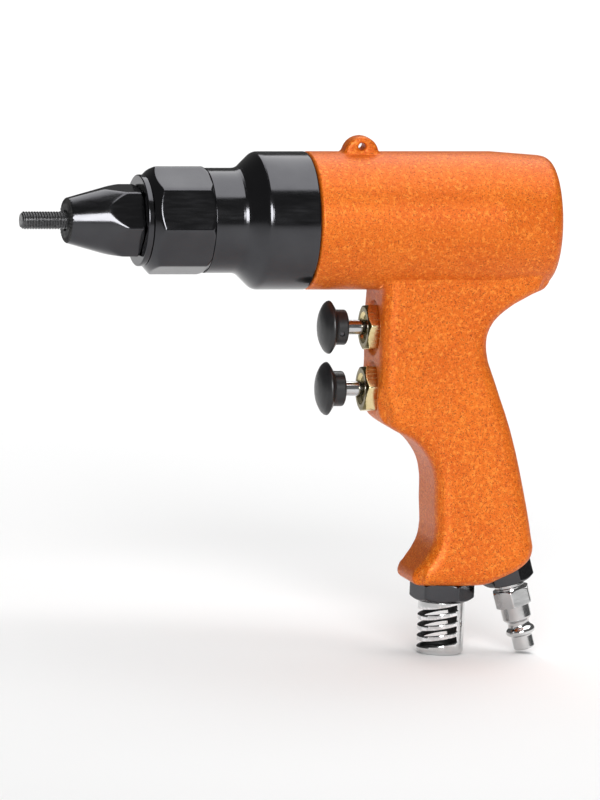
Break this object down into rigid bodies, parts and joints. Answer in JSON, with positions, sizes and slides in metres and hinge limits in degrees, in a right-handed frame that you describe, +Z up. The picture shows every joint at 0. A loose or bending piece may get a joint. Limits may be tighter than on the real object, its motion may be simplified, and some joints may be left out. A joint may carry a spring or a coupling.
{
  "type": "pneumatic rivet gun",
  "caption": "Pistol-grip air tool that sets threaded rivet nuts: vane motor, planetary gears, spinning threaded mandrel, push-button valves, exhaust muffler and plug-in air inlet.",
  "frame": {"origin": "centre of the casting's flat rear face, on the spindle axis", "axes": "+X along the spindle axis from the nose to the rear; +Z up, so the handle hangs towards -Z; +Y across the tool"},
  "size_m": [0.2393, 0.0602, 0.2275],
  "materials": {
    "orange_cast": "speckled orange textured paint on cast aluminium",
    "black_oxide": "glossy black oxide on turned steel",
    "tool_steel": "ground tool steel",
    "gear_steel": "hardened gear steel, oiled",
    "brass": "polished brass",
    "chrome": "bright nickel-chrome plate",
    "black_knob": "satin black on the push knobs",
    "spring_steel": "bright spring wire",
    "rubber": "matt nitrile rubber",
    "bronze": "sintered bronze",
    "vane_resin": "fabric-filled phenolic",
    "motor_iron": "ground cast iron, oiled"
  },
  "bodies": {
    "housing": {"body_housing": "orange_cast", "gear_case": "black_oxide", "nose_sleeve": "black_oxide", "jam_ring": "black_oxide", "mandrel_thrust_washer": "bronze", "spindle_bearing_outer": "tool_steel", "spindle_bush": "bronze", "ring_gear": "gear_steel", "motor_cylinder": "motor_iron", "front_end_plate": "motor_iron", "rear_end_plate": "motor_iron", "front_bearing_outer": "tool_steel", "rear_bearing_outer": "tool_steel", "preload_washer": "spring_steel", "upper_valve_gland": "brass", "lower_valve_gland": "brass", "upper_valve_spring": "spring_steel", "lower_valve_spring": "spring_steel", "exhaust_bushing": "black_oxide", "exhaust_muffler": "chrome", "inlet_bushing": "black_oxide", "inlet_screen": "bronze", "air_plug": "chrome"},
    "rotor": {"rotor": "tool_steel", "rotor_vane_1": "vane_resin", "rotor_vane_2": "vane_resin", "rotor_vane_3": "vane_resin", "rotor_vane_4": "vane_resin", "rotor_vane_5": "vane_resin", "front_bearing_inner": "tool_steel", "rear_bearing_inner": "tool_steel"},
    "first_carrier": {"first_carrier": "gear_steel"},
    "spindle": {"spindle": "tool_steel", "spindle_bearing_inner": "tool_steel", "mandrel": "black_oxide"},
    "nose_adjuster": {"nosepiece_o_ring": "rubber"},
    "nosepiece": {"nosepiece": "black_oxide"},
    "first_planet_1": {"first_planet_1": "gear_steel"},
    "second_planet_1": {"second_planet_1": "gear_steel"},
    "first_planet_2": {"first_planet_2": "gear_steel"},
    "second_planet_2": {"second_planet_2": "gear_steel"},
    "first_planet_3": {"first_planet_3": "gear_steel"},
    "second_planet_3": {"second_planet_3": "gear_steel"},
    "upper_button": {"upper_button_knob": "black_knob", "upper_valve_stem": "chrome", "upper_knob_set_screw": "black_oxide", "upper_valve_o_ring": "rubber"},
    "lower_button": {"lower_button_knob": "black_knob", "lower_valve_stem": "chrome", "lower_knob_set_screw": "black_oxide", "lower_valve_o_ring": "rubber"}
  },
  "joints": [
    {"name": "rotor_spin", "type": "hinge", "parent": "housing", "child": "rotor", "pos_m": [-0.044, 0, 0], "axis": [1, 0, 0], "continuous": true},
    {"name": "first_carrier_spin", "type": "hinge", "parent": "housing", "child": "first_carrier", "pos_m": [-0.084, 0, 0], "axis": [1, 0, 0], "continuous": true},
    {"name": "spindle_spin", "type": "hinge", "parent": "housing", "child": "spindle", "pos_m": [-0.12, 0, 0], "axis": [1, 0, 0], "continuous": true},
    {"name": "first_planet_1_spin", "type": "hinge", "parent": "first_carrier", "child": "first_planet_1", "pos_m": [-0.0777, 0, 0.0135], "axis": [1, 0, 0], "continuous": true},
    {"name": "first_planet_2_spin", "type": "hinge", "parent": "first_carrier", "child": "first_planet_2", "pos_m": [-0.0777, -0.01169, -0.00675], "axis": [1, 0, 0], "continuous": true},
    {"name": "first_planet_3_spin", "type": "hinge", "parent": "first_carrier", "child": "first_planet_3", "pos_m": [-0.0777, 0.01169, -0.00675], "axis": [1, 0, 0], "continuous": true},
    {"name": "second_planet_1_spin", "type": "hinge", "parent": "spindle", "child": "second_planet_1", "pos_m": [-0.0901, 0, 0.0135], "axis": [1, 0, 0], "continuous": true},
    {"name": "second_planet_2_spin", "type": "hinge", "parent": "spindle", "child": "second_planet_2", "pos_m": [-0.0901, -0.01169, -0.00675], "axis": [1, 0, 0], "continuous": true},
    {"name": "second_planet_3_spin", "type": "hinge", "parent": "spindle", "child": "second_planet_3", "pos_m": [-0.0901, 0.01169, -0.00675], "axis": [1, 0, 0], "continuous": true},
    {"name": "nosepiece_turn", "type": "hinge", "parent": "nose_adjuster", "child": "nosepiece", "pos_m": [-0.19, 0, 0], "axis": [1, 0, 0], "range_deg": [0, 720]},
    {"name": "nosepiece_advance", "type": "slide", "parent": "housing", "child": "nose_adjuster", "axis": [-1, 0, 0], "range_m": [0, 0.003]},
    {"name": "upper_button_push", "type": "slide", "parent": "housing", "child": "upper_button", "axis": [1, 0, 0], "range_m": [0, 0.0055], "stiffness_N_per_m": 900, "springref_m": -0.004, "deforming": ["upper_valve_spring"]},
    {"name": "lower_button_push", "type": "slide", "parent": "housing", "child": "lower_button", "axis": [1, 0, 0], "range_m": [0, 0.0055], "stiffness_N_per_m": 900, "springref_m": -0.004, "deforming": ["lower_valve_spring"]}
  ],
  "couplings": [
    {"joint": "first_carrier_spin", "follows": "rotor_spin", "ratio": 0.22222},
    {"joint": "spindle_spin", "follows": "rotor_spin", "ratio": 0.049383},
    {"joint": "first_planet_1_spin", "follows": "rotor_spin", "ratio": -0.62222},
    {"joint": "first_planet_2_spin", "follows": "rotor_spin", "ratio": -0.62222},
    {"joint": "first_planet_3_spin", "follows": "rotor_spin", "ratio": -0.62222},
    {"joint": "second_planet_1_spin", "follows": "rotor_spin", "ratio": -0.13827},
    {"joint": "second_planet_2_spin", "follows": "rotor_spin", "ratio": -0.13827},
    {"joint": "second_planet_3_spin", "follows": "rotor_spin", "ratio": -0.13827},
    {"joint": "nosepiece_advance", "follows": "nosepiece_turn", "m_per_rad": 0.00023873}
  ]
}
